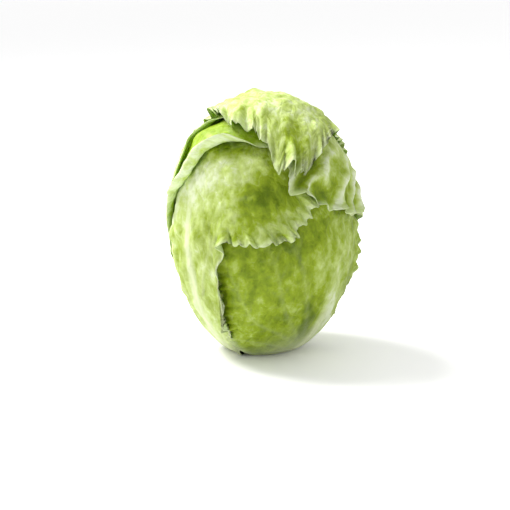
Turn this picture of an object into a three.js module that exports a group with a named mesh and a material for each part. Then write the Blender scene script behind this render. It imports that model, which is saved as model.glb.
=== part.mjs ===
// A whole iceberg lettuce standing on its cut butt: broad leaves growing from one short stem and
// wrapped round each other, the newest packed into a tight heart and the oldest folded over the crown.
// Every leaf is one curved shell lying on those inside it. Millimetres and degrees, +Z up, with the
// centre of the cut face at the origin.

import * as THREE from "three";

const DEGREE = Math.PI / 180;

// ---- Driving dimensions ----
const GIRTH_RADIUS = 71; // the head's radius at its widest
const HALF_HEIGHT = 101.5; // half its height before its base is pressed flat
const SHOULDER = 0.07; // how much fuller it is above the middle than below
const FULLNESS = 0.04; // how much its shoulders and foot stand out beyond a true ball's
const BASE_PRESS = 8; // how much of the round bottom the head's weight presses flat
const BASE_ROUNDING = 6.5;
const LUMPS = 1.6; // how far the whole head swells and dips from a true round

const BUTT_RADIUS = 17;
const BUTT_STRAIGHT = 30; // the stem keeps its full width up to here
const CORE_HEIGHT = 88;
const CORE_TIP_RADIUS = 5;
const LEAF_ROOT_RADIUS = 20; // where the leaves start, just clear of the stem

const LEAF_THICKNESS = 0.7;
const LEAF_PITCH = 3.5; // from one leaf's outer face to the next one's
const RIB_HEIGHT = 1.2; // how far a leaf's midrib stands out at its root
const RIB_WIDTH = 7; // degrees each side
const RIB_START = [25, 40]; // degrees up from the butt over which the midrib rises
const RIB_END = [60, 110]; // and over which it sinks into the blade again

const OUTER_CELLS = [12, 18]; // facets across and along an outer leaf
const INNER_CELLS = [10, 13];
const HEART_RINGS = 14;
const HEART_SEGMENTS = 20;
const HEART_GAP = 1.6;
const STEM_GAP = 0.8;

// ---- The leaves, innermost first ----
// azimuth: the side that the leaf's root grows from, with 0 at +X and 90 at +Y.
// centre: how far up from the butt, over the crown, the middle of the blade lies.
// margin: [bearing, reach] pairs round that middle. Bearing 0 is to the left as seen from the root
//         with the crown up, 90 towards the tip and 270 towards the root.
// lift: [bearing, height] pairs, how far an uncovered margin stands off the head.
// droop: the share of the lift that a rolled rim loses again at its very edge.
const HEART_LEAF = {
  centre: 105,
  margin: [
    [0, 66],
    [45, 68],
    [90, 72],
    [135, 68],
    [180, 66],
    [210, 70],
    [235, 76],
    [270, 88],
    [305, 76],
    [330, 70],
  ],
  lift: [[0, 2]],
  droop: 0,
};

const OUTER_LEAVES = [
  {
    name: "right_under_leaf",
    azimuth: 8,
    centre: 105,
    margin: [
      [0, 62],
      [45, 66],
      [90, 76],
      [135, 64],
      [180, 60],
      [210, 64],
      [235, 72],
      [270, 88],
      [305, 72],
      [330, 64],
    ],
    lift: [[0, 2]],
    droop: 0,
  },
  {
    name: "back_under_leaf",
    azimuth: 100,
    centre: 100,
    margin: [
      [0, 66],
      [45, 62],
      [90, 60],
      [135, 60],
      [180, 64],
      [210, 66],
      [235, 72],
      [270, 83],
      [305, 72],
      [330, 66],
    ],
    lift: [[0, 2]],
    droop: 0,
  },
  {
    name: "front_right_leaf",
    azimuth: -40,
    centre: 100,
    margin: [
      [0, 29],
      [30, 33],
      [60, 38],
      [90, 44],
      [125, 56],
      [150, 68],
      [180, 78],
      [195, 86],
      [215, 92],
      [235, 92],
      [270, 83],
      [295, 66],
      [318, 48],
      [337, 36],
    ],
    lift: [
      [0, 4],
      [90, 1],
      [180, 3],
      [270, 0],
      [330, 3],
    ],
    droop: 0,
  },
  {
    name: "front_left_leaf",
    azimuth: -140,
    centre: 130,
    margin: [
      [9, 74],
      [14, 68],
      [30, 70],
      [60, 74],
      [90, 74],
      [135, 70],
      [180, 66],
      [205, 66],
      [235, 76],
      [270, 113],
      [287, 84],
      [299, 54],
      [313, 46],
      [327, 53],
      [345, 67],
      [353, 69],
    ],
    lift: [
      [0, 5],
      [60, 2],
      [180, 2],
      [270, 0],
      [300, 4],
      [325, 6],
    ],
    droop: 0,
  },
  {
    name: "left_shoulder_leaf",
    azimuth: 150,
    centre: 115,
    margin: [
      [0, 38],
      [18, 43],
      [34, 51],
      [47, 65],
      [61, 84],
      [75, 94],
      [95, 91],
      [125, 80],
      [155, 72],
      [180, 68],
      [205, 68],
      [235, 74],
      [270, 98],
      [305, 62],
      [335, 42],
    ],
    lift: [
      [0, 4],
      [30, 6],
      [60, 6],
      [120, 2],
      [240, 1],
      [330, 3],
    ],
    droop: 0.7,
  },
  {
    name: "left_fold_leaf",
    azimuth: 125,
    centre: 115,
    margin: [
      [3, 55],
      [18, 59],
      [27, 57],
      [38, 48],
      [57, 54],
      [65, 66],
      [90, 74],
      [120, 68],
      [150, 62],
      [180, 60],
      [205, 62],
      [235, 72],
      [270, 98],
      [305, 68],
      [335, 57],
    ],
    lift: [
      [0, 3],
      [60, 4],
      [180, 1],
    ],
    droop: 0,
  },
  {
    name: "right_shoulder_leaf",
    azimuth: 40,
    centre: 125,
    margin: [
      [0, 66],
      [30, 64],
      [60, 70],
      [90, 78],
      [120, 80],
      [140, 79],
      [148, 86],
      [156, 87],
      [164, 82],
      [174, 71],
      [187, 58],
      [206, 45],
      [232, 54],
      [270, 108],
      [305, 72],
      [335, 66],
    ],
    lift: [
      [0, 2],
      [90, 1],
      [128, 7],
      [150, 6],
      [200, 3],
      [270, 0],
    ],
    droop: 0.2,
  },
  {
    name: "cap_leaf",
    azimuth: 90,
    centre: 125,
    margin: [
      [0, 55],
      [30, 52],
      [50, 55],
      [61, 63],
      [71, 80],
      [84, 85],
      [94, 96],
      [98, 104],
      [107, 106],
      [115, 101],
      [122, 90],
      [134, 71],
      [150, 62],
      [180, 57],
      [210, 58],
      [240, 68],
      [270, 108],
      [300, 66],
      [330, 57],
    ],
    lift: [
      [0, 3],
      [60, 2],
      [80, 2],
      [98, 8],
      [125, 4],
      [180, 3],
      [270, 0],
    ],
    droop: 0,
  },
];

const HEART_LEAVES = 7;
const LEAF_TURN = 137.5; // each leaf grows this far round the stem from the last
const leaves = [];
for (let k = 0; k < HEART_LEAVES; k++) {
  const number = String(k + 1).padStart(2, "0");
  leaves.push({
    ...HEART_LEAF,
    name: "heart_leaf_" + number,
    azimuth: LEAF_TURN * k,
    cells: INNER_CELLS,
  });
}
for (const leaf of OUTER_LEAVES) leaves.push({ ...leaf, cells: OUTER_CELLS });

// ---- Small functions of numbers ----
const smooth = (low, high, x) => {
  const t = Math.min(1, Math.max(0, (x - low) / (high - low)));
  return t * t * (3 - 2 * t);
};

// A closed curve through [bearing, value] pairs: cubic pieces whose slope at each pair is that of
// the line between its two neighbours.
function around(pairs, bearing) {
  const count = pairs.length;
  if (count === 1) return pairs[0][1];
  const at = (k) => {
    const turns = Math.floor(k / count);
    const [angle, value] = pairs[k - turns * count];
    return [angle + 360 * turns, value];
  };
  const slope = (k) => {
    const [a0, v0] = at(k - 1);
    const [a1, v1] = at(k + 1);
    return (v1 - v0) / (a1 - a0);
  };
  const turned = bearing - 360 * Math.floor((bearing - pairs[0][0]) / 360);
  let k = 0;
  while (at(k + 1)[0] <= turned) k++;
  const [a0, v0] = at(k);
  const [a1, v1] = at(k + 1);
  const span = a1 - a0;
  const t = (turned - a0) / span;
  return (
    v0 * (1 + 2 * t) * (1 - t) ** 2 +
    slope(k) * span * t * (1 - t) ** 2 +
    v1 * t * t * (3 - 2 * t) +
    slope(k + 1) * span * t * t * (t - 1)
  );
}

// ---- The head's outer shape ----
// n is a unit vector that stands for a place on the head: a scaled ball whose base is pressed flat.
const FLOOR_LEVEL = (Math.hypot(BASE_PRESS, BASE_ROUNDING) - BASE_PRESS) / 2;

// The swell of the whole head, shared by every leaf: three slow waves in different directions.
function lumps(n) {
  const waves =
    Math.sin(3.1 * n.x + 1.7 * n.y + 0.6) +
    Math.sin(2.3 * n.y - 2.9 * n.z + 2.1) +
    Math.sin(3.7 * n.z + 2.2 * n.x + 4.0);
  return (LUMPS * waves) / 3;
}

// The point at a height above the head's outer shape, along its outward normal.
function headPoint(n, height) {
  const girth = GIRTH_RADIUS * (1 + SHOULDER * n.z + FULLNESS * n.z * n.z);
  const ball = HALF_HEIGHT * (1 + n.z) - BASE_PRESS;
  const root = Math.hypot(ball, BASE_ROUNDING);
  const pressed = (1 + ball / root) / 2;
  const point = new THREE.Vector3(girth * n.x, girth * n.y, (ball + root) / 2 - FLOOR_LEVEL);
  const normal = new THREE.Vector3(
    HALF_HEIGHT * pressed * n.x,
    HALF_HEIGHT * pressed * n.y,
    GIRTH_RADIUS * n.z,
  ).normalize();
  return point.addScaledVector(normal, height);
}

// ---- Places on a leaf ----
// Three directions at the middle of a leaf's blade: straight out, to its left and up to its tip.
function middle(leaf) {
  const turn = leaf.azimuth * DEGREE;
  const rise = leaf.centre * DEGREE;
  const away = new THREE.Vector3(Math.cos(turn), Math.sin(turn), 0);
  return {
    out: away.clone().multiplyScalar(Math.sin(rise)).setZ(-Math.cos(rise)),
    left: new THREE.Vector3(-Math.sin(turn), Math.cos(turn), 0),
    tip: away.clone().multiplyScalar(Math.cos(rise)).setZ(Math.sin(rise)),
  };
}

// The place on the head at a bearing and a distance in degrees from the middle of a leaf.
function placeAt(leaf, bearing, distance) {
  const { out, left, tip } = middle(leaf);
  const n = out
    .multiplyScalar(Math.cos(distance * DEGREE))
    .addScaledVector(left, Math.sin(distance * DEGREE) * Math.cos(bearing * DEGREE))
    .addScaledVector(tip, Math.sin(distance * DEGREE) * Math.sin(bearing * DEGREE));
  // The root stays round the stem: what would lie inside it is moved out to its rim.
  const reach = Math.hypot(n.x, n.y);
  const least = LEAF_ROOT_RADIUS / GIRTH_RADIUS;
  if (n.z < 0 && reach < least) {
    const grow = least / Math.max(reach, 1e-6);
    n.set(n.x * grow, n.y * grow, -Math.sqrt(1 - least * least));
  }
  return n;
}

// 0 in the middle of a leaf's blade, 1 on its margin and more beyond it.
function share(leaf, n) {
  const { out, left, tip } = middle(leaf);
  const distance = n.angleTo(out) / DEGREE;
  const bearing = Math.atan2(n.dot(tip), n.dot(left)) / DEGREE;
  return distance / around(leaf.margin, bearing);
}

// The midrib's ridge at a place on the head.
function rib(leaf, n) {
  const turn = leaf.azimuth * DEGREE;
  const out = n.x * Math.cos(turn) + n.y * Math.sin(turn);
  if (out < 0) return 0;
  const across = Math.asin(n.y * Math.cos(turn) - n.x * Math.sin(turn)) / DEGREE;
  const along = Math.atan2(out, -n.z) / DEGREE;
  const start = smooth(RIB_START[0], RIB_START[1], along);
  const end = 1 - smooth(RIB_END[0], RIB_END[1], along);
  return RIB_HEIGHT * start * end * Math.exp(-((across / RIB_WIDTH) ** 2));
}

// ---- How the leaves lie on each other ----
// The height of leaf k's inner face over the head's outer shape. Every leaf that lies over a place
// presses it in by one pitch, and the press eases off just beyond that leaf's margin.
const PRESS = [1.1, 1.45];

function underside(k, n) {
  let height = lumps(n) * smooth(-0.85, -0.4, n.z) - LEAF_THICKNESS;
  for (const leaf of leaves.slice(k + 1)) {
    height -= LEAF_PITCH * (1 - smooth(PRESS[0], PRESS[1], share(leaf, n)));
  }
  return height;
}

// 1 where no outer leaf covers leaf k, 0 under or beside one.
function bareness(k, n) {
  let bare = 1;
  for (let j = k + 1; j < leaves.length; j++) bare *= smooth(1.12, 1.45, share(leaves[j], n));
  return bare;
}

// The lift of leaf k's margin: it rises over the outer part of the blade, and a rolled rim falls
// again at its edge.
function lift(k, n, bearing, ratio) {
  const leaf = leaves[k];
  const rise = smooth(0.68, 0.9, ratio) - leaf.droop * smooth(0.88, 1, ratio);
  return around(leaf.lift, bearing) * rise * bareness(k, n);
}

// ---- Solids ----
// A leaf: a square grid bent to a disc and then to the leaf's outline, with an outer and an inner
// face and a rim that joins them.
function leafGeometry(k) {
  const leaf = leaves[k];
  const [wide, long] = leaf.cells;
  const row = wide + 1;
  const outer = [];
  const inner = [];
  for (let j = 0; j <= long; j++) {
    for (let i = 0; i <= wide; i++) {
      const x = (2 * i) / wide - 1;
      const y = (2 * j) / long - 1;
      const across = x * Math.sqrt(1 - (y * y) / 2);
      const along = y * Math.sqrt(1 - (x * x) / 2);
      const ratio = Math.hypot(across, along);
      const bearing = Math.atan2(along, across) / DEGREE;
      const reach = around(leaf.margin, bearing);
      const n = placeAt(leaf, bearing, ratio * reach);
      const low = underside(k, n) + lift(k, n, bearing, ratio);
      inner.push(headPoint(n, low));
      outer.push(headPoint(n, low + LEAF_THICKNESS + rib(leaf, n)));
    }
  }
  const points = [...outer, ...inner];
  for (const p of points) p.z = Math.max(p.z, 0);
  const under = outer.length;
  const faces = [];
  const quad = (a, b, c, d) => faces.push(a, b, c, a, c, d);
  for (let j = 0; j < long; j++) {
    for (let i = 0; i < wide; i++) {
      const a = j * row + i;
      quad(a, a + 1, a + row + 1, a + row);
      quad(under + a, under + a + row, under + a + row + 1, under + a + 1);
    }
  }
  const rim = [];
  for (let i = 0; i < wide; i++) rim.push(i);
  for (let j = 0; j < long; j++) rim.push(j * row + wide);
  for (let i = wide; i > 0; i--) rim.push(long * row + i);
  for (let j = long; j > 0; j--) rim.push(j * row);
  rim.forEach((a, i) => {
    const b = rim[(i + 1) % rim.length];
    quad(a, under + a, under + b, b);
  });
  const geometry = new THREE.BufferGeometry().setFromPoints(points);
  geometry.setIndex(faces);
  geometry.computeVertexNormals();
  return geometry;
}

// The stem's profile, or that of the room kept for it: a straight butt cut flat underneath, drawn
// in to a blunt growing tip.
const stemProfile = (spare) => [
  new THREE.Vector2(BUTT_RADIUS + spare, 0),
  new THREE.Vector2(BUTT_RADIUS + spare, BUTT_STRAIGHT),
  new THREE.Vector2(BUTT_RADIUS * 0.8 + spare, BUTT_STRAIGHT + 20),
  new THREE.Vector2(BUTT_RADIUS * 0.5 + spare, CORE_HEIGHT - 14),
  new THREE.Vector2(CORE_TIP_RADIUS + spare, CORE_HEIGHT - 3 + spare),
  new THREE.Vector2(0, CORE_HEIGHT + spare),
];

// A lathe turns about Y; this stands it on Z.
const turned = (profile) => new THREE.LatheGeometry(profile, HEART_SEGMENTS).rotateX(Math.PI / 2);

const stemGeometry = () => turned([new THREE.Vector2(0, 0), ...stemProfile(0)]);

// The heart: the tight bud of the youngest leaves, filling the room that the others leave, with a
// hole from below for the stem.
function heartGeometry() {
  const wall = [];
  for (let ring = 0; ring <= HEART_RINGS; ring++) {
    const up = -Math.cos((Math.PI * ring) / HEART_RINGS);
    const out = Math.sqrt(1 - up * up);
    let height = Infinity;
    for (let side = 0; side < 360; side += 9) {
      const x = out * Math.cos(side * DEGREE);
      const y = out * Math.sin(side * DEGREE);
      height = Math.min(height, underside(-1, new THREE.Vector3(x, y, up)));
    }
    const point = headPoint(new THREE.Vector3(out, 0, up), height - HEART_GAP);
    wall.push(new THREE.Vector2(ring < HEART_RINGS ? point.x : 0, point.z));
  }
  const hole = stemProfile(STEM_GAP).reverse();
  const mouth = hole[hole.length - 1];
  const shell = wall.filter((p, ring) => ring > HEART_RINGS / 2 || p.x > mouth.x + 2);
  mouth.y = shell[0].y;
  return turned([...hole, ...shell]);
}

// ---- Finishes ----
const finish = (color, roughness) =>
  new THREE.MeshStandardMaterial({ color, roughness, metalness: 0 });
const LEAF_GREEN = finish(0xa9c24a, 0.45);
const HEART_YELLOW = finish(0xe6e27a, 0.5);
const STEM_CREAM = finish(0xefe6cc, 0.55);

function piece(name, geometry, material) {
  const mesh = new THREE.Mesh(geometry, material.clone());
  mesh.name = name;
  return mesh;
}

const lettuce = new THREE.Group();
lettuce.name = "iceberg_lettuce";
lettuce.add(piece("stem", stemGeometry(), STEM_CREAM));
lettuce.add(piece("heart", heartGeometry(), HEART_YELLOW));
leaves.forEach((leaf, k) => {
  const green = k < HEART_LEAVES ? HEART_YELLOW : LEAF_GREEN;
  lettuce.add(piece(leaf.name, leafGeometry(k), green));
});

export default lettuce;
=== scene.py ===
# A whole iceberg lettuce standing on its cut butt. Broad leaves grow from one short stem and wrap
# round each other, so every leaf is made as a curved blade that lies on the ones inside it, with
# its own ribs, crinkles, rolled rims and frills. Metres, +Z up, and the cut face's centre at the
# origin.

import bpy
import numpy as np
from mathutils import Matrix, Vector


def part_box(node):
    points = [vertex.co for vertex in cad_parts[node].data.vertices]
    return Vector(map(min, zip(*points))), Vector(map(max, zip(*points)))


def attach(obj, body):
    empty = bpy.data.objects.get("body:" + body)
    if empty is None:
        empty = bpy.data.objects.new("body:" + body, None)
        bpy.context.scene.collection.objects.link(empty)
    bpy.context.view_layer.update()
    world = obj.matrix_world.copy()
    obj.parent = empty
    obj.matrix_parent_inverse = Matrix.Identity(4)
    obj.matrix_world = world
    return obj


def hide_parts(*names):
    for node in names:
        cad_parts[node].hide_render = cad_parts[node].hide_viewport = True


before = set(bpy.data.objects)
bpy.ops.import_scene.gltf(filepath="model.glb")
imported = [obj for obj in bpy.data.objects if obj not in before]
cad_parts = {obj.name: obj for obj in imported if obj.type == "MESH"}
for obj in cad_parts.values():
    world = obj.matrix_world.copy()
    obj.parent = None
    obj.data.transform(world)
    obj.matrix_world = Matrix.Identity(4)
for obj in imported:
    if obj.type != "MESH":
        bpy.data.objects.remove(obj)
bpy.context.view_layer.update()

# ---- Stem ----
# The short thick stem that all the leaves grow from. Its butt was sliced off square at harvest, so
# it is a flat moist disc with a fibrous ring underneath, and it tapers upwards to the growing tip.
stem_base, stem_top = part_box("stem")
BUTT_RADIUS = (stem_top[0] - stem_base[0]) / 2
STEM_HEIGHT = stem_top[2]
# [share of the butt's radius, share of the height] up the side, then in to the blunt tip
STEM_SIDE = [
    [0.0, 0.0],
    [0.3, 0.0],
    [0.6, 0.0],
    [0.8, 0.0],
    [0.93, 0.0],
    [0.985, 0.004],
    [1.0, 0.014],
    [1.0, 0.1],
    [0.99, 0.2],
    [0.985, 0.34],
    [0.9, 0.46],
    [0.8, 0.57],
    [0.66, 0.7],
    [0.5, 0.84],
    [0.38, 0.92],
    [0.24, 0.975],
    [0.1, 0.997],
    [0.0, 1.0],
]
STEM_TURNS = 72
DRIED_AT = 0.98  # share of the butt's radius where the cut has dried most
DRIED_WIDTH = 0.1
DRIED_HEIGHT = 0.004


def lay_mesh(name, points, *faces):
    """A mesh object from points in metres and arrays of three- or four-cornered faces."""
    corners = np.concatenate([f.ravel() for f in faces])
    sizes = np.concatenate([np.full(len(f), f.shape[1]) for f in faces])
    mesh = bpy.data.meshes.new(name)
    mesh.vertices.add(len(points))
    mesh.vertices.foreach_set("co", np.ascontiguousarray(points, np.float32).ravel())
    mesh.loops.add(len(corners))
    mesh.loops.foreach_set("vertex_index", corners.astype(np.int32))
    mesh.polygons.add(len(sizes))
    mesh.polygons.foreach_set("loop_start", (np.cumsum(sizes) - sizes).astype(np.int32))
    mesh.update(calc_edges=True)
    mesh.shade_smooth()
    piece = bpy.data.objects.new(name, mesh)
    bpy.context.scene.collection.objects.link(piece)
    return piece


def note(piece, name, values):
    """Write one number for each point, for the material to read."""
    mark = piece.data.attributes.new(name, "FLOAT", "POINT")
    mark.data.foreach_set("value", np.ascontiguousarray(values, np.float32).ravel())


def turned(side, turns, out=1.0):
    """Points and faces of a side turned round Z: rings at (r cos t, r sin t, z), whose first and
    last points are single points on the axis. out multiplies each ring's radii, turn by turn."""
    radius, height = np.array(side).T
    t = np.arange(turns) * 2 * np.pi / turns
    rings = radius[1:-1, None] * np.ones(turns) * out
    points = np.stack(
        [rings * np.cos(t), rings * np.sin(t), height[1:-1, None] + 0 * rings], axis=-1
    ).reshape(-1, 3)
    points = np.vstack([[0, 0, height[0]], points, [0, 0, height[-1]]])
    here = np.arange(turns)
    after = np.roll(here, -1)
    start = 1 + turns * np.arange(len(radius) - 3)[:, None]
    quads = np.stack(
        [start + here, start + after, start + turns + after, start + turns + here], axis=-1
    ).reshape(-1, 4)
    last = len(points) - 1
    foot = np.stack([0 * here, 1 + after, 1 + here], axis=-1)
    head = np.stack([last + 0 * here, last - turns + here, last - turns + after], axis=-1)
    return points, quads, np.vstack([foot, head])


def paint(code):
    """A linear colour from a six-figure hex code."""
    part = np.array([int(code[i : i + 2], 16) for i in (0, 2, 4)]) / 255
    linear = np.where(part <= 0.04045, part / 12.92, ((part + 0.055) / 1.055) ** 2.4)
    return (*(float(v) for v in linear), 1.0)


def flesh(name):
    """A new node material: returns it, a function that adds a node, and one that links sockets."""
    material = bpy.data.materials.new(name)
    material.use_nodes = True
    tree = material.node_tree
    tree.nodes.clear()

    def add(kind, **settings):
        node = tree.nodes.new("ShaderNode" + kind)
        for key, value in settings.items():
            if key in node.inputs:
                node.inputs[key].default_value = value
            else:
                setattr(node, key, value)
        return node

    return material, add, tree.links.new


def blend_colours(add, link, share, low, high):
    """A colour mix: low where share is 0, high where it is 1. Each is a colour or a socket."""
    mix = add("Mix", data_type="RGBA")
    link(share, mix.inputs["Factor"])
    for value, socket in ((low, mix.inputs[6]), (high, mix.inputs[7])):
        if isinstance(value, bpy.types.NodeSocket):
            link(value, socket)
        else:
            socket.default_value = value
    return mix.outputs[2]


def stem_flesh():
    """Cream flesh flecked with darker fibres and faint brown where the cut has dried at its rim."""
    material, add, link = flesh("stem flesh")
    place = add("TexCoord").outputs["Object"]
    fibres = add("TexNoise", Scale=420.0, Detail=4.0, Roughness=0.7)
    link(place, fibres.inputs["Vector"])
    patches = add("TexNoise", Scale=60.0, Detail=3.0)
    link(place, patches.inputs["Vector"])
    spots = add("MapRange", **{"From Min": 0.45, "From Max": 0.75})
    link(fibres.outputs["Fac"], spots.inputs["Value"])
    cream = blend_colours(add, link, patches.outputs["Fac"], paint("efe7c8"), paint("dcd2a2"))
    fibrous = blend_colours(add, link, spots.outputs["Result"], cream, paint("cdbb85"))
    dried = add("Attribute", attribute_name="dried")
    edge = blend_colours(add, link, dried.outputs["Fac"], fibrous, paint("b98e58"))
    bump = add("Bump", Strength=0.35, Distance=0.0006)
    link(fibres.outputs["Fac"], bump.inputs["Height"])
    body = add("BsdfPrincipled", Roughness=0.5)
    body.inputs["Specular IOR Level"].default_value = 0.45
    link(edge, body.inputs["Base Color"])
    link(bump.outputs["Normal"], body.inputs["Normal"])
    out = add("OutputMaterial")
    link(body.outputs["BSDF"], out.inputs["Surface"])
    return material


stem_side = np.array(STEM_SIDE) * [BUTT_RADIUS, STEM_HEIGHT]
stem_points, stem_quads, stem_ends = turned(stem_side, STEM_TURNS)
stem = lay_mesh("cut_stem", stem_points, stem_quads, stem_ends)
stem_reach = np.hypot(stem_points[:, 0], stem_points[:, 1]) / BUTT_RADIUS
dried = np.exp(-(((stem_reach - DRIED_AT) / DRIED_WIDTH) ** 2))
note(stem, "dried", dried * (stem_points[:, 2] < DRIED_HEIGHT))
stem.data.materials.append(stem_flesh())
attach(stem, "root")
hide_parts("stem")

# ---- Heart ----
# The tight bud of the youngest leaves, too crumpled to part from each other. It is pale yellow, and
# hollow underneath where the stem's growing tip stands up into it.
heart_base, heart_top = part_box("heart")
HEART_RADIUS = (heart_top[0] - heart_base[0]) / 2 * 0.98
HEART_TURNS = 120
HEART_RINGS = 60
BORE_RINGS = 14
BORE_GAP = 0.0008
BORE_TAPER = [[0, 0.1, 1], [0.12, 0.42, 1]]  # shares of its depth, shares of the butt's radius
HEART_TUCK = 0.42  # share of a half turn that its side runs in under it
HEART_CRUMPLE = 0.055  # share of its radius that the folds take


def heart_bud():
    """The side runs from the top of the stem's bore down its wall and up the outside, which is half
    an ellipse. With t the turn and u the share of the way up the outside, its radius is times
    1 - c (|sin(2.5 t + 4 u + sin 9 u)| + sin(17 t + 31 u) sin(23 u) / 4) sin(pi u)."""
    floor, top = heart_base[2], heart_top[2]
    rise = np.linspace(0, 1, BORE_RINGS)[:, None]
    bore = np.hstack(
        [
            np.interp(rise, *BORE_TAPER) * BUTT_RADIUS + BORE_GAP,
            STEM_HEIGHT + BORE_GAP - rise * (STEM_HEIGHT - floor),
        ]
    )
    bore[0] = [0, STEM_HEIGHT + 2 * BORE_GAP]
    bore[1, 1] = STEM_HEIGHT + BORE_GAP
    turn = np.linspace(-HEART_TUCK * np.pi, 0.5 * np.pi, HEART_RINGS)[:, None]
    middle, half = (top + floor) / 2, (top - floor) / 2
    outside = np.hstack([np.cos(turn) * HEART_RADIUS, middle + half * np.sin(turn)])
    outside[0, 1] = bore[-1, 1] = floor
    outside[-1, 0] = 0
    side = np.vstack([bore, outside])
    up = np.concatenate([np.zeros(len(bore)), np.linspace(0, 1, HEART_RINGS)])[1:-1, None]
    t = np.arange(HEART_TURNS) * 2 * np.pi / HEART_TURNS
    folds = np.abs(np.sin(2.5 * t + 4 * up + np.sin(9 * up)))
    wrinkles = 0.25 * np.sin(17 * t + 31 * up) * np.sin(23 * up)
    out = 1 - HEART_CRUMPLE * (folds + wrinkles) * np.sin(np.pi * up)
    return turned(side, HEART_TURNS, out)


def heart_flesh():
    """Blanched yellow leaf, paler where it puckers."""
    material, add, link = flesh("heart flesh")
    place = add("TexCoord").outputs["Object"]
    puckers = add("TexVoronoi", Scale=130.0)
    link(place, puckers.inputs["Vector"])
    drift = add("TexNoise", Scale=40.0, Detail=4.0)
    link(place, drift.inputs["Vector"])
    yellow = blend_colours(add, link, drift.outputs["Fac"], paint("f0e98e"), paint("d6dc63"))
    pale = blend_colours(add, link, puckers.outputs["Distance"], yellow, paint("f6f2c8"))
    bump = add("Bump", Strength=0.5, Distance=0.0015)
    link(puckers.outputs["Distance"], bump.inputs["Height"])
    body = add("BsdfPrincipled", Roughness=0.45)
    link(pale, body.inputs["Base Color"])
    link(bump.outputs["Normal"], body.inputs["Normal"])
    out = add("OutputMaterial")
    link(body.outputs["BSDF"], out.inputs["Surface"])
    return material


heart_points, heart_quads, heart_ends = heart_bud()
heart = lay_mesh("heart_bud", heart_points, heart_quads, heart_ends)
heart.data.materials.append(heart_flesh())
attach(heart, "root")
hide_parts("heart")

# ---- How the leaves wrap the head ----
# Every leaf springs from the stem at its own azimuth, runs up its side of the head and folds over
# the crown. Its blade is laid out round its middle by bearing, 0 to its left, 90 to its tip and 270
# to its root, and distance in degrees. Innermost first: each later leaf lies on the earlier ones.
MM = 0.001
GIRTH_RADIUS = 71 * MM
HALF_HEIGHT = 101.5 * MM
SHOULDER = 0.07  # share that a ball's girth gains towards the top and loses towards the base
FULLNESS = 0.04  # share that it gains towards both ends
BASE_PRESS = 8 * MM  # how far the underside is pressed flat
BASE_ROUNDING = 6.5 * MM
LUMPS = 1.6 * MM
LEAF_ROOT_RADIUS = 20 * MM
LEAF_PITCH = 3.5 * MM  # from one leaf to the next one over it
BLADE = 0.8 * MM  # the blade's thickness at its middle
RIM = 0.35 * MM  # and at its edge
PRESS_BAND = (1.02, 1.4)  # shares of a leaf's reach over which it stops pressing the next one in
BARE_BAND = (1.0, 1.13)  # shares of its reach over which it stops hiding the next one in
PLEAT_BAND = (0.35, 0.8)  # shares of a leaf's own reach over which its pleats deepen
LIFT_BAND = (0.66, 0.9)  # shares of a leaf's own reach over which it lifts off the head,
DROOP_BAND = (0.86, 1)  # bows down again,
FRILL_BAND = (0.72, 1)  # waves,
THIN_BAND = (0.8, 1)  # thins
EDGE_BAND = (0.93, 1)  # and loses its veins and green
DEGREE = 1.4 * MM  # about how far one degree is on the head
FLOOR_GAP = 0.05 * MM
DEEPEST = 1.2  # millimetres that a dip can go in before it meets the leaf below
BACK_STEP = 0.02  # share of the reach over which a blade's outward direction is measured
LEAST_BEND = 0.02  # radians: straighter arcs than this are bent this much
BLANCHED = (8, 60)  # degrees from the root over which its cream turns green
RIM_RING = 70  # degrees: radius of the ring on which teeth and frills are drawn

YOUNG_LEAVES = 7
YOUNG_TURN = 137.5  # degrees from one young leaf to the next
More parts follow.
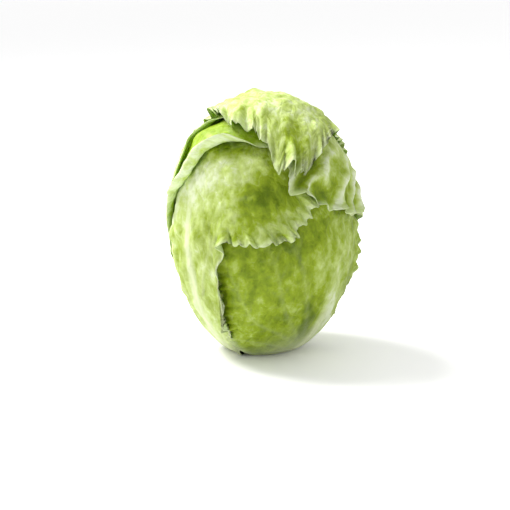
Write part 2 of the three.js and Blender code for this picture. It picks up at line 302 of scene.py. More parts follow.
# centre: how far up from the stem the blade's middle is; margin: [bearing, distance to the edge]
YOUNG_MARGIN = [
    [0, 66], [45, 68], [90, 72], [135, 68], [180, 66], [210, 70], [235, 76], [270, 88], [305, 76],
    [330, 70],
]
head_leaves = [
    dict(node="heart_leaf_%02d" % (k + 1), azimuth=YOUNG_TURN * k, centre=105, margin=YOUNG_MARGIN)
    for k in range(YOUNG_LEAVES)
] + [
    dict(
        node="right_under_leaf",
        azimuth=8,
        centre=105,
        margin=[
            [0, 62], [45, 66], [90, 76], [135, 64], [180, 60], [210, 64], [235, 72], [270, 88],
            [305, 72], [330, 64],
        ],
    ),
    dict(
        node="back_under_leaf",
        azimuth=100,
        centre=100,
        margin=[
            [0, 66], [45, 62], [90, 60], [135, 60], [180, 64], [210, 66], [235, 72], [270, 83],
            [305, 72], [330, 66],
        ],
    ),
    dict(
        node="front_right_leaf",
        azimuth=-40,
        centre=100,
        margin=[
            [0, 29], [30, 33], [60, 38], [90, 44], [125, 56], [150, 68], [180, 78], [195, 86],
            [215, 92], [235, 92], [270, 83], [295, 66], [318, 48], [337, 36],
        ],
    ),
    dict(
        node="front_left_leaf",
        azimuth=-140,
        centre=130,
        margin=[
            [9, 74], [14, 68], [30, 70], [60, 74], [90, 74], [135, 70], [180, 66], [205, 66],
            [235, 76], [270, 113], [287, 84], [299, 54], [313, 46], [327, 53], [345, 67],
            [353, 69],
        ],
    ),
    dict(
        node="left_shoulder_leaf",
        azimuth=150,
        centre=115,
        margin=[
            [0, 38], [18, 43], [34, 51], [47, 65], [61, 84], [75, 94], [95, 91], [125, 80],
            [155, 72], [180, 68], [205, 68], [235, 74], [270, 98], [305, 62], [335, 42],
        ],
    ),
    dict(
        node="left_fold_leaf",
        azimuth=125,
        centre=115,
        margin=[
            [3, 55], [18, 59], [27, 57], [38, 48], [57, 54], [65, 66], [90, 74], [120, 68],
            [150, 62], [180, 60], [205, 62], [235, 72], [270, 98], [305, 68], [335, 57],
        ],
    ),
    dict(
        node="right_shoulder_leaf",
        azimuth=40,
        centre=125,
        margin=[
            [0, 66], [30, 64], [60, 70], [90, 78], [120, 81], [140, 84], [148, 93], [156, 95],
            [164, 90], [174, 79], [187, 65], [206, 48], [232, 54], [270, 108], [305, 72],
            [335, 66],
        ],
    ),
    dict(
        node="cap_leaf",
        azimuth=90,
        centre=125,
        margin=[
            [0, 55], [30, 52], [50, 56], [61, 67], [71, 86], [84, 94], [94, 106], [98, 114],
            [107, 116], [115, 111], [122, 97], [134, 75], [150, 62], [180, 57], [210, 58],
            [240, 68], [270, 108], [300, 66], [330, 57],
        ],
    ),
]


def smooth(low, high, x):
    """0 below low, 1 above high, and 3 t^2 - 2 t^3 between them."""
    t = np.clip((x - low) / (high - low), 0, 1)
    return t * t * (3 - 2 * t)


def around(pairs, bearing):
    """A closed curve through [bearing, value] pairs: cubic pieces, whose slope at a pair is that of
    the line between the two pairs beside it. A single number is the same all the way round."""
    if np.isscalar(pairs):
        return pairs + 0 * bearing
    angle, value = np.array(pairs, float).T
    a = np.concatenate([angle[-2:] - 360, angle, angle[:2] + 360])
    v = np.concatenate([value[-2:], value, value[:2]])
    slope = (v[2:] - v[:-2]) / (a[2:] - a[:-2])
    x = (bearing - angle[0]) % 360 + angle[0]
    k = np.clip(np.searchsorted(a, x, side="right") - 1, 1, len(a) - 3)
    span = a[k + 1] - a[k]
    t = (x - a[k]) / span
    return (
        v[k] * (1 + 2 * t) * (1 - t) ** 2
        + slope[k - 1] * span * t * (1 - t) ** 2
        + v[k + 1] * t * t * (3 - 2 * t)
        + slope[k] * span * t * t * (t - 1)
    )


def swell(x, y, length, seed):
    """Uneven waves of about one length, from -1 to 1: seven sines in evenly turned directions."""
    total = 0
    for i in range(7):
        turn = 2.4 * i + seed
        wave = length * (1 + 0.35 * np.sin(5.1 * i + 3 * seed))
        along = x * np.cos(turn) + y * np.sin(turn)
        total = total + np.sin(2 * np.pi * along / wave + 1.7 * i * i + 11 * seed)
    return total / 3.7


def unit(v):
    """Vectors of length one."""
    return v / np.maximum(np.linalg.norm(v, axis=-1, keepdims=True), 1e-9)


def leaf_axes(leaf):
    """Three directions at the middle of a blade: straight out, to its left and up to its tip."""
    turn, rise = np.radians(leaf["azimuth"]), np.radians(leaf["centre"])
    away = np.array([np.cos(turn), np.sin(turn), 0])
    up = np.array([0, 0, 1])
    out = away * np.sin(rise) - up * np.cos(rise)
    left = np.array([-np.sin(turn), np.cos(turn), 0])
    return out, left, away * np.cos(rise) + up * np.sin(rise)


def place_at(leaf, bearing, distance):
    """The place on the head at a bearing and distance: out cos d + (left cos b + tip sin b) sin d.
    What would lie inside the stem is moved out to the stem's side."""
    out, left, tip = leaf_axes(leaf)
    d, b = np.radians(distance)[..., None], np.radians(bearing)[..., None]
    n = out * np.cos(d) + (left * np.cos(b) + tip * np.sin(b)) * np.sin(d)
    reach = np.hypot(n[..., 0], n[..., 1])
    least = LEAF_ROOT_RADIUS / GIRTH_RADIUS
    inside = (n[..., 2] < 0) & (reach < least)
    grow = np.where(inside, least / np.maximum(reach, 1e-6), 1)
    down = np.where(inside, -np.sqrt(1 - least**2), n[..., 2])
    return np.stack([n[..., 0] * grow, n[..., 1] * grow, down], axis=-1)


def share(leaf, n):
    """0 at the middle of a blade, 1 on its margin: distance / reach at that bearing."""
    out, left, tip = leaf_axes(leaf)
    distance = np.degrees(np.arccos(np.clip(n @ out, -1, 1)))
    return distance / around(leaf["margin"], np.degrees(np.arctan2(n @ tip, n @ left)))


def head_surface(n, height):
    """Points and outward normals at a height over the head: a ball scaled to the girth and the half
    height, whose underside is pressed flat by z = (b + sqrt(b^2 + r^2)) / 2."""
    girth = GIRTH_RADIUS * (1 + SHOULDER * n[..., 2] + FULLNESS * n[..., 2] ** 2)
    ball = HALF_HEIGHT * (1 + n[..., 2]) - BASE_PRESS
    root = np.hypot(ball, BASE_ROUNDING)
    floor = (np.hypot(BASE_PRESS, BASE_ROUNDING) - BASE_PRESS) / 2
    pressed = HALF_HEIGHT * (1 + ball / root) / 2
    point = np.stack([girth * n[..., 0], girth * n[..., 1], (ball + root) / 2 - floor], axis=-1)
    slant = [pressed * n[..., 0], pressed * n[..., 1], GIRTH_RADIUS * n[..., 2]]
    normal = unit(np.stack(slant, axis=-1))
    return point + normal * height[..., None], normal


def underside(k, n):
    """The height of leaf k's inner face over the head's outer shape: the head's own slow lumps,
    less one pitch for each leaf that lies over the place and presses it in."""
    x, y, z = n[..., 0], n[..., 1], n[..., 2]
    waves = (
        np.sin(3.1 * x + 1.7 * y + 0.6)
        + np.sin(2.3 * y - 2.9 * z + 2.1)
        + np.sin(3.7 * z + 2.2 * x + 4.0)
    )
    height = LUMPS * waves / 3 * smooth(-0.85, -0.4, z) - BLADE
    for leaf in head_leaves[k + 1 :]:
        height = height - LEAF_PITCH * (1 - smooth(*PRESS_BAND, share(leaf, n)))
    return height


def bareness(k, n):
    """1 where no outer leaf covers leaf k, and 0 under one."""
    bare = np.ones(n.shape[:-1])
    for leaf in head_leaves[k + 1 :]:
        bare = bare * smooth(*BARE_BAND, share(leaf, n))
    return bare


def patches(rows, x, y):
    """The sum of soft oval patches. Each row is [x, y, turn, half length, half width, amount]: the
    amount fades as exp(-(along / length)^2 - (across / width)^2)."""
    total = 0 * x
    for middle_x, middle_y, turn, length, width, amount in rows:
        c, s = np.cos(np.radians(turn)), np.sin(np.radians(turn))
        along = (x - middle_x) * c + (y - middle_y) * s
        across = (y - middle_y) * c - (x - middle_x) * s
        total = total + amount * np.exp(-((along / length) ** 2) - (across / width) ** 2)
    return total


def vein_net(leaf, x, y):
    """How strongly a rib or vein runs through each place, from 0 to 1, and how proud it stands.
    x and y are degrees left of and above the blade's middle. The midrib runs straight up from the
    root. Main veins fan out from it: lines of even fan = turn / spread, where turn is the angle at
    the root and spread grows with the distance r. Side veins leave them in chevrons: lines of even
    r - 0.9 d, where d is the distance to the nearest main vein."""
    seed = leaf["seed"]
    up = y + leaf["centre"]
    r = np.hypot(x, up)
    spread = 0.16 + 0.84 * smooth(0, 80, r)
    fan = np.degrees(np.arctan2(x + 2 * np.sin(up / 23 + seed), up)) / spread
    mains, nearest = 0 * r, 99 + 0 * r
    for i in range(-4, 5):
        line = 15 * i + 4 * np.sin(2.1 * i + 5 * seed) + 2.5 * np.sin(r / 15 + 1.3 * i + seed)
        off = np.abs(np.radians(fan - line) * spread * r) * DEGREE / MM
        nearest = np.minimum(nearest, off)
        width = 1.2 + 2.2 * np.exp(-r / 50)
        mains = np.maximum(mains, np.exp(-((off / width) ** 2)))
    mains = mains * (1 - 0.7 * smooth(60, 130, r))
    rank = (r * DEGREE / MM - 0.9 * nearest) / 12 + 0.3 * np.sin(fan / 7 + seed)
    line = np.abs(rank - np.round(rank)) * 12
    sides = np.exp(-((line / 1.4) ** 2)) * (1 - smooth(3, 14, nearest)) * smooth(20, 50, r)
    half = (leaf["rib_width"] * (1 - smooth(0, leaf["rib_end"], r)) + 1.3) * MM
    across = x * DEGREE / half
    rib = np.exp(-(np.abs(across) ** 3)) * (1 - smooth(0.55, 1, r / leaf["rib_end"]))
    grooved = rib * (0.84 + 0.16 * np.sin(9 * across + np.sin(r / 9)))
    strength = np.maximum.reduce([grooved, leaf["veins"] * mains, 0.5 * leaf["veins"] * sides])
    proud = 1.5 * grooved * (1 - smooth(20, 110, r)) + leaf["veins"] * (mains + 0.5 * sides)
    return strength, proud * MM


def grow_leaf(name, k, grid):
    """The blade is a square grid bent to a disc, X = x sqrt(1 - y^2 / 2), Y = y sqrt(1 - x^2 / 2),
    and then to the leaf's outline. Towards a bare rim it lifts, droops, frills and curls back.
    Past the share curl_from it runs along an arc: the head's own roundness, less the curl angle
    where the rim is bare. Two faces half a thickness either side of it and a rim between them
    close it."""
    leaf = head_leaves[k]
    seed = leaf["seed"]
    cols, rows = grid
    u, v = np.linspace(-1, 1, cols), np.linspace(-1, 1, rows)
    u, v = np.meshgrid(u * (1.2 - 0.2 * u * u), v * (1.2 - 0.2 * v * v))
    disc_x, disc_y = u * np.sqrt(1 - v * v / 2), v * np.sqrt(1 - u * u / 2)
    ratio = np.minimum(np.hypot(disc_x, disc_y), 1)
    bearing = np.degrees(np.arctan2(disc_y, disc_x))
    b = np.radians(bearing)
    round_x, round_y = RIM_RING * np.cos(b), RIM_RING * np.sin(b)
    reach = around(leaf["margin"], bearing) + around(leaf["longer"], bearing)

    # the outline's long lobes, bites and short teeth
    notches = 0.9 * swell(round_x, round_y, 17, 3 * seed)
    notches = notches + 0.8 * swell(round_x, round_y, 8, 5 * seed)
    notches = notches + 0.25 * swell(round_x, round_y, 3.5, 7 * seed)
    jag = around(leaf["ragged"], bearing) * notches / 100
    pleat_count, pleat_height = leaf["pleats"]

    def pleats(x, y):
        return np.abs(np.sin(pleat_count * b / 2 + swell(x, y, 30, seed + 3)))

    def blade(part):
        distance = part * reach * (1 + jag * part**6)
        n = place_at(leaf, bearing, distance)
        bare = bareness(k, n)
        x, y = distance * np.cos(b), distance * np.sin(b)
        droop = around(leaf["droop"], bearing) * smooth(*DROOP_BAND, part)
        rise = smooth(*LIFT_BAND, part) - droop
        lifted = underside(k, n) + around(leaf["lift"], bearing) * MM * rise * bare
        relief = leaf["crinkle"] * (swell(x, y, 24, seed) + 0.5 * swell(x, y, 12, seed + 1))
        puffs = np.abs(swell(x, y, 15, seed + 2)) + 0.5 * np.abs(swell(x, y, 7, seed + 4))
        relief = relief + leaf["blister"] * (puffs - 0.6)
        relief = relief + patches(leaf["folds"], x, y)
        relief = relief + pleat_height * (0.6 - pleats(x, y)) * smooth(*PLEAT_BAND, part)
        relief = np.where(relief < 0, DEEPEST * np.tanh(relief / DEEPEST), relief)
        relief = relief * (0.25 + 0.75 * bare) * smooth(-0.85, -0.5, n[..., 2])
        point, normal = head_surface(n, lifted + relief * MM)
        return point, normal, bare, n

    bend_at = np.minimum(ratio, leaf["curl_from"])
    point, normal, bare, n = blade(bend_at)
    tangent = unit(point - blade(bend_at - BACK_STEP)[0])
    sideways = np.cross(normal, tangent)

    # the curl, and the head's own roundness that the rim keeps to
    length = (1 - leaf["curl_from"]) * reach * DEGREE
    angle = np.radians(around(leaf["curl"], bearing)) * bare - length / GIRTH_RADIUS
    angle = np.where(np.abs(angle) < LEAST_BEND, LEAST_BEND, angle)
    past = np.clip((ratio - leaf["curl_from"]) / (1 - leaf["curl_from"]), 0, 1)
    bent = past * angle
    point = point + tangent * (length / angle * np.sin(bent))[..., None]
    point = point + normal * (length / angle * (1 - np.cos(bent)))[..., None]
    facing = normal * np.cos(bent)[..., None] - tangent * np.sin(bent)[..., None]

    # the frill
    frill = around(leaf["frill"], bearing) * MM * smooth(*FRILL_BAND, ratio) ** 1.5 * bare
    wave = 1.6 * swell(round_x, round_y, 15, 2 * seed) + 0.8 * swell(round_x, round_y, 7, 4 * seed)
    swing = 1.6 * swell(round_x, round_y, 13, 6 * seed)
    point = point + facing * (frill * (0.6 + wave))[..., None]
    point = point + sideways * (frill * 0.6 * swing)[..., None]

    # the two faces and the rim between them
    x, y = ratio * reach * np.cos(b), ratio * reach * np.sin(b)
    strength, proud = vein_net(leaf, x, y)
    face = unit(np.cross(np.gradient(point, axis=1), np.gradient(point, axis=0)))
    for j in (0, -1):
        for i in (0, -1):
            face[j, i] = face[1 if j == 0 else -2, 1 if i == 0 else -2]
    thick = RIM + (BLADE - RIM) * (1 - smooth(*THIN_BAND, ratio))
    low = smooth(-0.95, -0.6, n[..., 2])
    veined = 1 - smooth(*EDGE_BAND, ratio)
    outer = point + face * (thick / 2 + proud * low * veined)[..., None]
    inner = point - face * (thick / 2)[..., None]
    points = np.concatenate([outer.reshape(-1, 3), inner.reshape(-1, 3)])
    points[:, 2] = np.maximum(points[:, 2], FLOOR_GAP)
    under = rows * cols
    at = np.arange(under).reshape(rows, cols)
    quads = np.stack([at[:-1, :-1], at[:-1, 1:], at[1:, 1:], at[1:, :-1]], axis=-1).reshape(-1, 4)
    edge = np.concatenate([at[0, :-1], at[:-1, -1], at[-1, :0:-1], at[:0:-1, 0]])
    after = np.roll(edge, -1)
    rim = np.stack([edge, under + edge, under + after, after], axis=-1)
    piece = lay_mesh(name, points, quads, under + quads[:, ::-1], rim)
    spot = np.tile(np.stack([x, y], axis=-1).reshape(-1, 2) / 100, (2, 1))
    layer = piece.data.uv_layers.new(name="blade")
    corner = np.empty(len(piece.data.loops), np.int32)
    piece.data.loops.foreach_get("vertex_index", corner)
    layer.data.foreach_set("uv", spot[corner].astype(np.float32).ravel())
    note(piece, "vein", np.tile(strength.ravel(), 2))
    note(piece, "rim", np.tile(smooth(*EDGE_BAND, ratio).ravel(), 2))
    root = 1 - smooth(*BLANCHED, np.hypot(x, y + leaf["centre"]))
    note(piece, "root", np.tile(root.ravel(), 2))
    # Paleness: the leaf's own tone plus patches, mostly painted light and shade, with a real
    # whitish rib among them on the lower front leaf
    pale = leaf["pale"] + patches(leaf["tints"], x, y)
    # Painted light along the pleats' ridges and painted shade in their folds
    pale = pale + 0.8 * (pleat_count > 0) * (0.5 - pleats(x, y)) * smooth(*PLEAT_BAND, ratio)
    pale = pale.ravel()
    note(piece, "pale", np.concatenate([pale, pale + leaf["inside"]]))
    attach(piece, "root")
    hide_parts(leaf["node"])
    return piece


def leaf_flesh(name, deep, green, light, white, glow):
    """Leaf: from deep green through green and light to nearly white as the paleness written on it
    rises, mottled by drifts and puckers, with pale ribs, a faint net of veins, a paler rim and a
    blanched root. Light passes through the blade with the colour glow."""
    material, add, link = flesh(name)
    spot = add("UVMap", uv_map="blade").outputs["UV"]
    drift = add("TexNoise", Scale=5.0, Detail=3.0, Roughness=0.55)
    mottle = add("TexNoise", Scale=17.0, Detail=4.0, Roughness=0.6)
    warp = add("TexNoise", Scale=14.0, Detail=2.0)
    cells = add("TexVoronoi", Scale=13.0, feature="DISTANCE_TO_EDGE")
    fine = add("TexVoronoi", Scale=42.0, feature="DISTANCE_TO_EDGE")
    for texture in (drift, mottle, warp):
        link(spot, texture.inputs["Vector"])
    bent = add("Mix", data_type="RGBA", blend_type="ADD")
    bent.inputs["Factor"].default_value = 0.09
    link(spot, bent.inputs[6])
    link(warp.outputs["Color"], bent.inputs[7])
    for texture in (cells, fine):
        link(bent.outputs[2], texture.inputs["Vector"])

    def range_of(socket, low, high, to_low, to_high):
        shift = add("MapRange", **{"From Min": low, "From Max": high})
        shift.inputs["To Min"].default_value = to_low
        shift.inputs["To Max"].default_value = to_high
        link(socket, shift.inputs["Value"])
        return shift.outputs["Result"]

    def plus(first, second):
        total = add("Math", operation="ADD")
        link(first, total.inputs[0])
        link(second, total.inputs[1])
        return total.outputs["Value"]

    # the paleness carries painted light and shade as well as the leaf's own tone
    pale = add("Attribute", attribute_name="pale").outputs["Fac"]
    tone = plus(pale, range_of(drift.outputs["Fac"], 0.3, 0.7, -0.15, 0.15))
    tone = plus(tone, range_of(mottle.outputs["Fac"], 0.3, 0.7, -0.22, 0.22))
    tone = plus(tone, range_of(cells.outputs["Distance"], 0.0, 0.1, 0.07, 0.0))
    tone = plus(tone, range_of(fine.outputs["Distance"], 0.0, 0.12, 0.04, 0.0))
    ramp = add("ValToRGB")
    stops = ramp.color_ramp.elements
    stops[0].color, stops[1].color = deep, white
    stops.new(0.35).color = green
    stops.new(0.68).color = light
    link(tone, ramp.inputs["Fac"])
    thin = add("Attribute", attribute_name="rim").outputs["Fac"]
    ribs = add("Attribute", attribute_name="vein").outputs["Fac"]
    root = add("Attribute", attribute_name="root").outputs["Fac"]
    rimmed = blend_colours(add, link, range_of(thin, 0, 1, 0, 0.45), ramp.outputs["Color"], white)
    ribbed = blend_colours(add, link, ribs, rimmed, paint("e2e8c4"))
    whole = blend_colours(add, link, root, ribbed, paint("e4e8c6"))
    puff = range_of(cells.outputs["Distance"], 0.0, 0.3, 0.0, 1.0)
    relief = plus(puff, range_of(fine.outputs["Distance"], 0.0, 0.35, 0.0, 0.3))
    bump = add("Bump", Strength=0.4, Distance=0.0011)
    link(relief, bump.inputs["Height"])
    body = add("BsdfPrincipled", Roughness=0.5)
    body.inputs["Specular IOR Level"].default_value = 0.25
    link(whole, body.inputs["Base Color"])
    link(bump.outputs["Normal"], body.inputs["Normal"])
    through = add("BsdfTranslucent")
    glowing = blend_colours(add, link, ribs, glow, paint("e8f0b0"))
    link(glowing, through.inputs["Color"])
    link(bump.outputs["Normal"], through.inputs["Normal"])
    mix = add("MixShader")
    mix.inputs["Fac"].default_value = 0.28
    link(body.outputs["BSDF"], mix.inputs[1])
    link(through.outputs["BSDF"], mix.inputs[2])
    out = add("OutputMaterial")
    link(mix.outputs["Shader"], out.inputs["Surface"])
    return material


# ---- Young leaves ----
# The pale leaves round the heart, each turned on from the last, packed under the rest. Blanched
# yellow because no light reaches them; each is rooted on the stem like the outer ones.
YOUNG_GRID = (44, 60)
# What a leaf has unless its own section says otherwise. One number, or [bearing, value] pairs:
PLAIN = dict(
    longer=0,  # degrees that a rolled or hanging rim adds to the margin
    lift=2,  # millimetres that a bare rim stands off
    droop=0,  # share of that lift given up again at the edge
    curl=0,  # degrees that it rolls back
    curl_from=0.86,  # share of the reach where the roll starts
    frill=1,  # millimetres
    ragged=2,  # per cent of the reach that the teeth take, roughly
    crinkle=0.7,  # millimetres
    blister=0.5,  # millimetres
    pleats=[0, 0],  # how many, and how high in millimetres
    folds=[],  # rows for patches, in millimetres
    rib_width=8,  # millimetres either side of the middle, at the root
    rib_end=130,  # degrees
    veins=0.5,  # strength from 0 to 1
    pale=0.4,  # 0 deep green to 1 nearly white
    # Patches added to pale: mostly painted light and shade, with a few real tints such as a whitish
    # rib
    tints=[],  # rows for patches, added to pale
    inside=0.35,  # how much paler the inner face is
)
young_flesh = leaf_flesh(
    "young leaf",
    deep=paint("b4c043"),
    green=paint("c9d15e"),
    light=paint("dfe39a"),
    white=paint("f1f1cf"),
    glow=paint("d2e05a"),
)
for k in range(YOUNG_LEAVES):
    head_leaves[k].update(PLAIN, seed=0.7 + k, crinkle=0.4, rib_width=6, rib_end=120, pale=0.5)
    young = grow_leaf("young_leaf_%d" % (k + 1), k, YOUNG_GRID)
    young.data.materials.append(young_flesh)

# ---- Right under leaf ----
# An outer leaf that shows only as a strip on the right side, between the leaves lying over it.
# Green and stiff, rooted low on the stem; its neighbours hold it down.
outer_flesh = leaf_flesh(
    "outer leaf",
    deep=paint("617600"),
    green=paint("93a71e"),
    light=paint("c3d37c"),
    white=paint("ebf2cf"),
    glow=paint("b4d41c"),
)
OUTER_GRID = (120, 170)


def wrap_leaf(node, material=outer_flesh, **looks):
    """Grow the outer leaf of that name with its own looks."""
    k = [leaf["node"] for leaf in head_leaves].index(node)
    head_leaves[k].update(PLAIN, **looks)
    leaf = grow_leaf("wrapped_" + node, k, OUTER_GRID)
    leaf.data.materials.append(material)


wrap_leaf("right_under_leaf", seed=8.1, lift=0.5, frill=0.3, ragged=1, pale=0.35)

# ---- Back under leaf ----
# The leaf that shows between the cap and the shoulder leaves at the back. Like every outer leaf it
# springs from the stem and is clasped by the leaves that lie over it.
wrap_leaf("back_under_leaf", seed=9.3, lift=0.5, frill=0.4, ragged=1.5, pale=0.4)

# ---- Lower front leaf ----
# The smooth leaf that makes the lower front: painted a deep green, which is painted shade for the
# ruffles that overhang it and for a front that faces away from the lamp, with a broad whitish rib
# running up from the stem on the right and a toothed edge beyond it. Rooted on the stem at its
# lower right and clasped on its left by the leaf over it.
wrap_leaf(
    "front_right_leaf",
    seed=10.2,
    lift=[[0, 1.5], [90, 1], [180, 1], [270, 0], [330, 1.5]],
    longer=[[0, 0], [180, 0], [270, 0], [325, 0], [337, 3], [350, 0]],
    frill=[[0, 0.4], [180, 0.4], [270, 0], [335, 0.8]],
    ragged=[[0, 1], [60, 1.5], [180, 1.5], [270, 1], [318, 1], [337, 2.5]],
    folds=[[1, -45, 106, 15, 2, 0.9], [8, -46, 106, 17, 2, 0.9], [14, -50, 106, 15, 2, 0.8]],
    crinkle=0.8,
    blister=0.7,
    rib_width=14,
    rib_end=80,
    veins=0.12,
    # Low paleness: painted shade over the lower front
    pale=0.24,
    # First row: painted shade under the overhanging ruffles; fourth row: the whitish rib; the rest
    # are paler and deeper patches
    tints=[
        [-40, -8, 0, 22, 8, -0.14],
        [-8, -22, 20, 24, 14, 0.2],
        [-13, -50, 112, 20, 5, -0.26],
        [7, -46, 106, 20, 9, 0.75],
        [16, -22, 105, 16, 5, 0.2],
    ],
)

# ---- Left front leaf ----
# The broad leaf over the left and middle of the front, painted pale where it bulges to the light
# and painted a shaded deep green in the dip above its ruffled lower edge, which curls out over the
# leaf below.
# [left, up, turn, half length, half width] in degrees, and the height in mm or the paleness, which
# paints light and shade
FRONT_FOLDS = [
    [40, -2, 38, 12, 3, -2.4],
    [34, 6, 38, 14, 7, 1.6],
    [50, -8, 30, 14, 6, 1.2],
    [58, 8, 60, 16, 3.5, -2.2],
    [66, -2, 75, 12, 3, 2.0],
    [16, -20, 40, 18, 5, -1.4],
]
# Rows: painted shade in the dip above the lower edge, painted shade beside the right shoulder
# leaf's scoop, painted light on the pale upper left, a little darker by the lower edge, and the
# painted shadow under the shoulder leaf's rolled rim
FRONT_LIGHT_AND_SHADE = [
    [47, -9, 28, 20, 12, -0.5],
    [58, 14, 60, 16, 8, -0.3],
    [-4, -18, 30, 30, 13, 0.3],
    [28, -33, 20, 14, 6, -0.1],
    [14, 3, 28, 26, 5, -0.4],
]
wrap_leaf(
    "front_left_leaf",
    seed=11.7,
    longer=[[0, 2], [90, 0], [180, 0], [270, 0], [310, 3], [340, 4]],
    lift=[[0, 1.5], [60, 1], [180, 1], [270, 0], [285, 1.2], [313, 2.4], [330, 3]],
    droop=[[0, 0.6], [60, 0], [180, 0], [270, 0], [310, 0.8], [340, 0.6]],
    frill=[[0, 2], [60, 1], [180, 0.4], [235, 0.2], [270, 0], [297, 0.2], [313, 3], [340, 2.6]],
    ragged=[[0, 8], [60, 2], [180, 1], [235, 0.5], [270, 0.3], [297, 0.5], [313, 5], [340, 8]],
    curl=[[0, 20], [60, 0], [180, 0], [270, 0], [310, 30], [340, 25]],
    crinkle=1.0,
    blister=1.5,
    rib_width=9,
    rib_end=140,
    veins=0.3,
    pale=0.57,
    folds=FRONT_FOLDS,
    tints=FRONT_LIGHT_AND_SHADE,
)

# ---- Left shoulder leaf ----
# The leaf over the left shoulder. Its front rim rolls right back on itself in a smooth pale band
# that sweeps up under the crown, and leaves a bright yellow-green hollow behind it. Its greens are
# more vivid than the other outer leaves': partly its own colour and partly a painted glow of the
# light that shines through it in the hollow, where it is also painted deeper for the shade.
# Vivid greens: partly the leaf's own colour, partly painted glow of light shining through it
vivid_glow_flesh = leaf_flesh(
    "left shoulder leaf",
    deep=paint("749000"),
    green=paint("97b414"),
    light=paint("bdd062"),
    white=paint("e6eeca"),
    glow=paint("bcd61c"),
)
wrap_leaf(
    "left_shoulder_leaf",
    vivid_glow_flesh,
    seed=12.4,
    longer=[[0, 16], [14, 23], [30, 23], [45, 20], [58, 16], [74, 4], [110, 0], [240, 0], [330, 6]],
    lift=[[0, 0.3], [30, 0.6], [60, 1], [120, 0.5], [240, 0.5], [330, 0]],
    frill=0.3,
    ragged=0.6,
    curl=[[0, 80], [20, 190], [45, 160], [58, 140], [74, 20], [100, 0], [240, 0], [330, 10]],
    curl_from=0.85,
    blister=0.3,
    veins=0.3,
    pale=0.48,
    # Painted a deeper green in the hollow behind the rolled rim, for its shade and the light
    # shining through it
    tints=[[33, 28, 75, 24, 16, -0.22]],
    inside=0.4,
)

# ---- Left edge leaf ----
# Its smooth edge is the left outline of the head, painted pale for the light that catches it, and
# its inner face is painted paler still against its shade. It stands a little off the shoulder leaf,
# so daylight gets in behind it.
wrap_leaf(
    "left_fold_leaf",
    seed=13.9,
    longer=[[0, 4], [20, 5], [38, 4], [57, 1], [90, 0], [270, 0], [330, 2]],
    lift=[[0, 0], [50, 0.3], [80, 0.5], [180, 0.3]],
    frill=0,
    ragged=0.2,
    curl=[[0, 30], [30, 55], [57, 55], [90, 0], [180, 0], [270, 0]],
    curl_from=0.95,
    crinkle=0.3,
    blister=0.1,
    veins=0.5,
    pale=0.42,
    # Painted light along the edge that makes the outline
    tints=[[54, 20, 90, 50, 9, 0.35]],
    # Inner face painted much paler, as light on the shaded underside of its curled rim
    inside=0.7,
)

# ---- Right shoulder leaf ----
# The leaf over the right shoulder, pleated into a fan of ridges, with a scooped ragged lower edge
# that rolls out a little.
wrap_leaf(
    "right_shoulder_leaf",
    seed=14.6,
    lift=[[0, 2], [90, 1], [128, 3], [150, 3], [175, 1.5], [200, 0.5], [270, 0]],
    frill=[[0, 1], [90, 1], [150, 1.8], [175, 0.8], [200, 0.4], [270, 0]],
    ragged=[[0, 3], [90, 2], [150, 4], [175, 2.5], [200, 2], [270, 1]],
    curl=[[0, 0], [90, 0], [145, 70], [165, 70], [180, 20], [210, 0], [270, 0]],
    crinkle=0.8,
    blister=0.6,
    pleats=[30, 4.2],
    veins=0.3,
    pale=0.54,
    # Painted light on a broad patch and painted shade on a smaller one; the pleats also carry
    # painted light and shade
    tints=[[-50, 15, 90, 40, 24, 0.12], [-64, 38, 60, 12, 7, -0.22]],
)

# ---- Crown leaf ----
# The crinkled leaf folded right over the top from behind. Its front hangs down the middle as a
# ragged, yellow-green flap; the rest is pale and lies close, and is painted paler over the top
# where the lamp falls on it.
wrap_leaf(
    "cap_leaf",
    seed=15.8,
    lift=[[0, 0.5], [60, 0.5], [80, 1], [98, 2.8], [115, 2.4], [132, 0.6], [180, 0.3], [270, 0]],
    droop=[[0, 0], [98, 0.5], [125, 0.4], [180, 0]],
    frill=[[0, 0.4], [60, 0.5], [98, 2.2], [118, 1.2], [132, 0.5], [180, 0.3], [270, 0]],
    ragged=[[0, 1], [60, 1], [84, 3], [98, 6], [122, 4], [140, 1], [180, 1], [270, 1]],
    crinkle=1.1,
    blister=1.3,
    pale=0.46,
    # Painted light over the top of the crown, and darker over the hanging flap
    tints=[[0, 70, 0, 70, 34, 0.2], [-24, 92, 60, 14, 12, -0.2]],
)

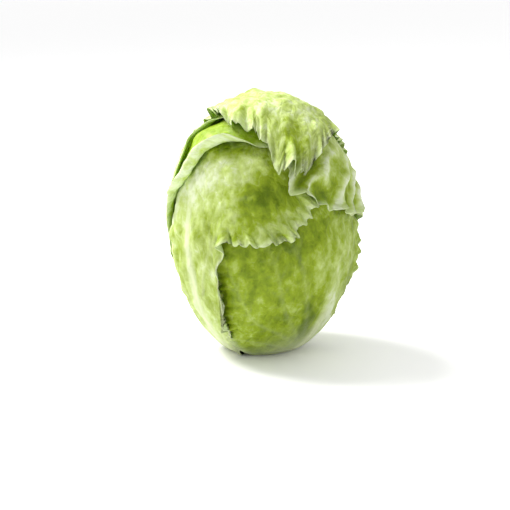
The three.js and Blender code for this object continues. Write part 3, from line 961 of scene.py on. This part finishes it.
# ---- Table, light and camera ----
# A plain white table, an even white room and one soft lamp high on the left behind the head.
SIDE = 6.0
TABLE_WHITE = (0.97, 0.97, 0.97, 1)
floor_mesh = bpy.data.meshes.new("white_table")
floor_mesh.from_pydata(
    [(-SIDE, -SIDE, 0), (SIDE, -SIDE, 0), (SIDE, SIDE, 0), (-SIDE, SIDE, 0)], [], [(0, 1, 2, 3)]
)
floor = bpy.data.objects.new("white_table", floor_mesh)
bpy.context.scene.collection.objects.link(floor)
table_white, add, link = flesh("white table")
surface = add("BsdfPrincipled", Roughness=0.6)
surface.inputs["Base Color"].default_value = TABLE_WHITE
link(surface.outputs["BSDF"], add("OutputMaterial").inputs["Surface"])
floor_mesh.materials.append(table_white)

world = bpy.data.worlds.new("white room")
world.use_nodes = True
sky = world.node_tree.nodes["Background"]
sky.inputs["Color"].default_value = (1, 1, 1, 1)
sky.inputs["Strength"].default_value = 1.0
bpy.context.scene.world = world
bpy.context.scene.view_settings.view_transform = "Standard"

middle = Vector((0, 0, HALF_HEIGHT - BASE_PRESS))
KEY_PLACE = Vector((-0.7, 0.35, 1.1))
key_light = bpy.data.lights.new("key", "AREA")
key_light.shape = "DISK"
key_light.size = 0.7
key_light.energy = 30
key = bpy.data.objects.new("key", key_light)
key.location = KEY_PLACE
key.rotation_euler = (middle - KEY_PLACE).to_track_quat("-Z", "Y").to_euler()
bpy.context.scene.collection.objects.link(key)

camera_data = bpy.data.cameras.new("camera")
camera_data.lens = 100
camera = bpy.data.objects.new("camera", camera_data)
SENSOR = 36  # millimetres, like the lens
ELEVATION = np.radians(13)
VIEW_WIDTH = 0.381  # metres across the picture at the head
AIM_LEFT = 0.006  # the camera looks a little left of the head's middle
AIM_LOW = 0.0217  # and below it
away = VIEW_WIDTH * camera_data.lens / SENSOR
picture_up = Vector((0, np.sin(ELEVATION), np.cos(ELEVATION)))
aim = middle + Vector((-AIM_LEFT, 0, 0)) - AIM_LOW * picture_up
camera.location = aim + away * Vector((0, -np.cos(ELEVATION), np.sin(ELEVATION)))
camera.rotation_euler = (aim - camera.location).to_track_quat("-Z", "Y").to_euler()
bpy.context.scene.collection.objects.link(camera)
bpy.context.scene.camera = camera

bpy.context.view_layer.update()
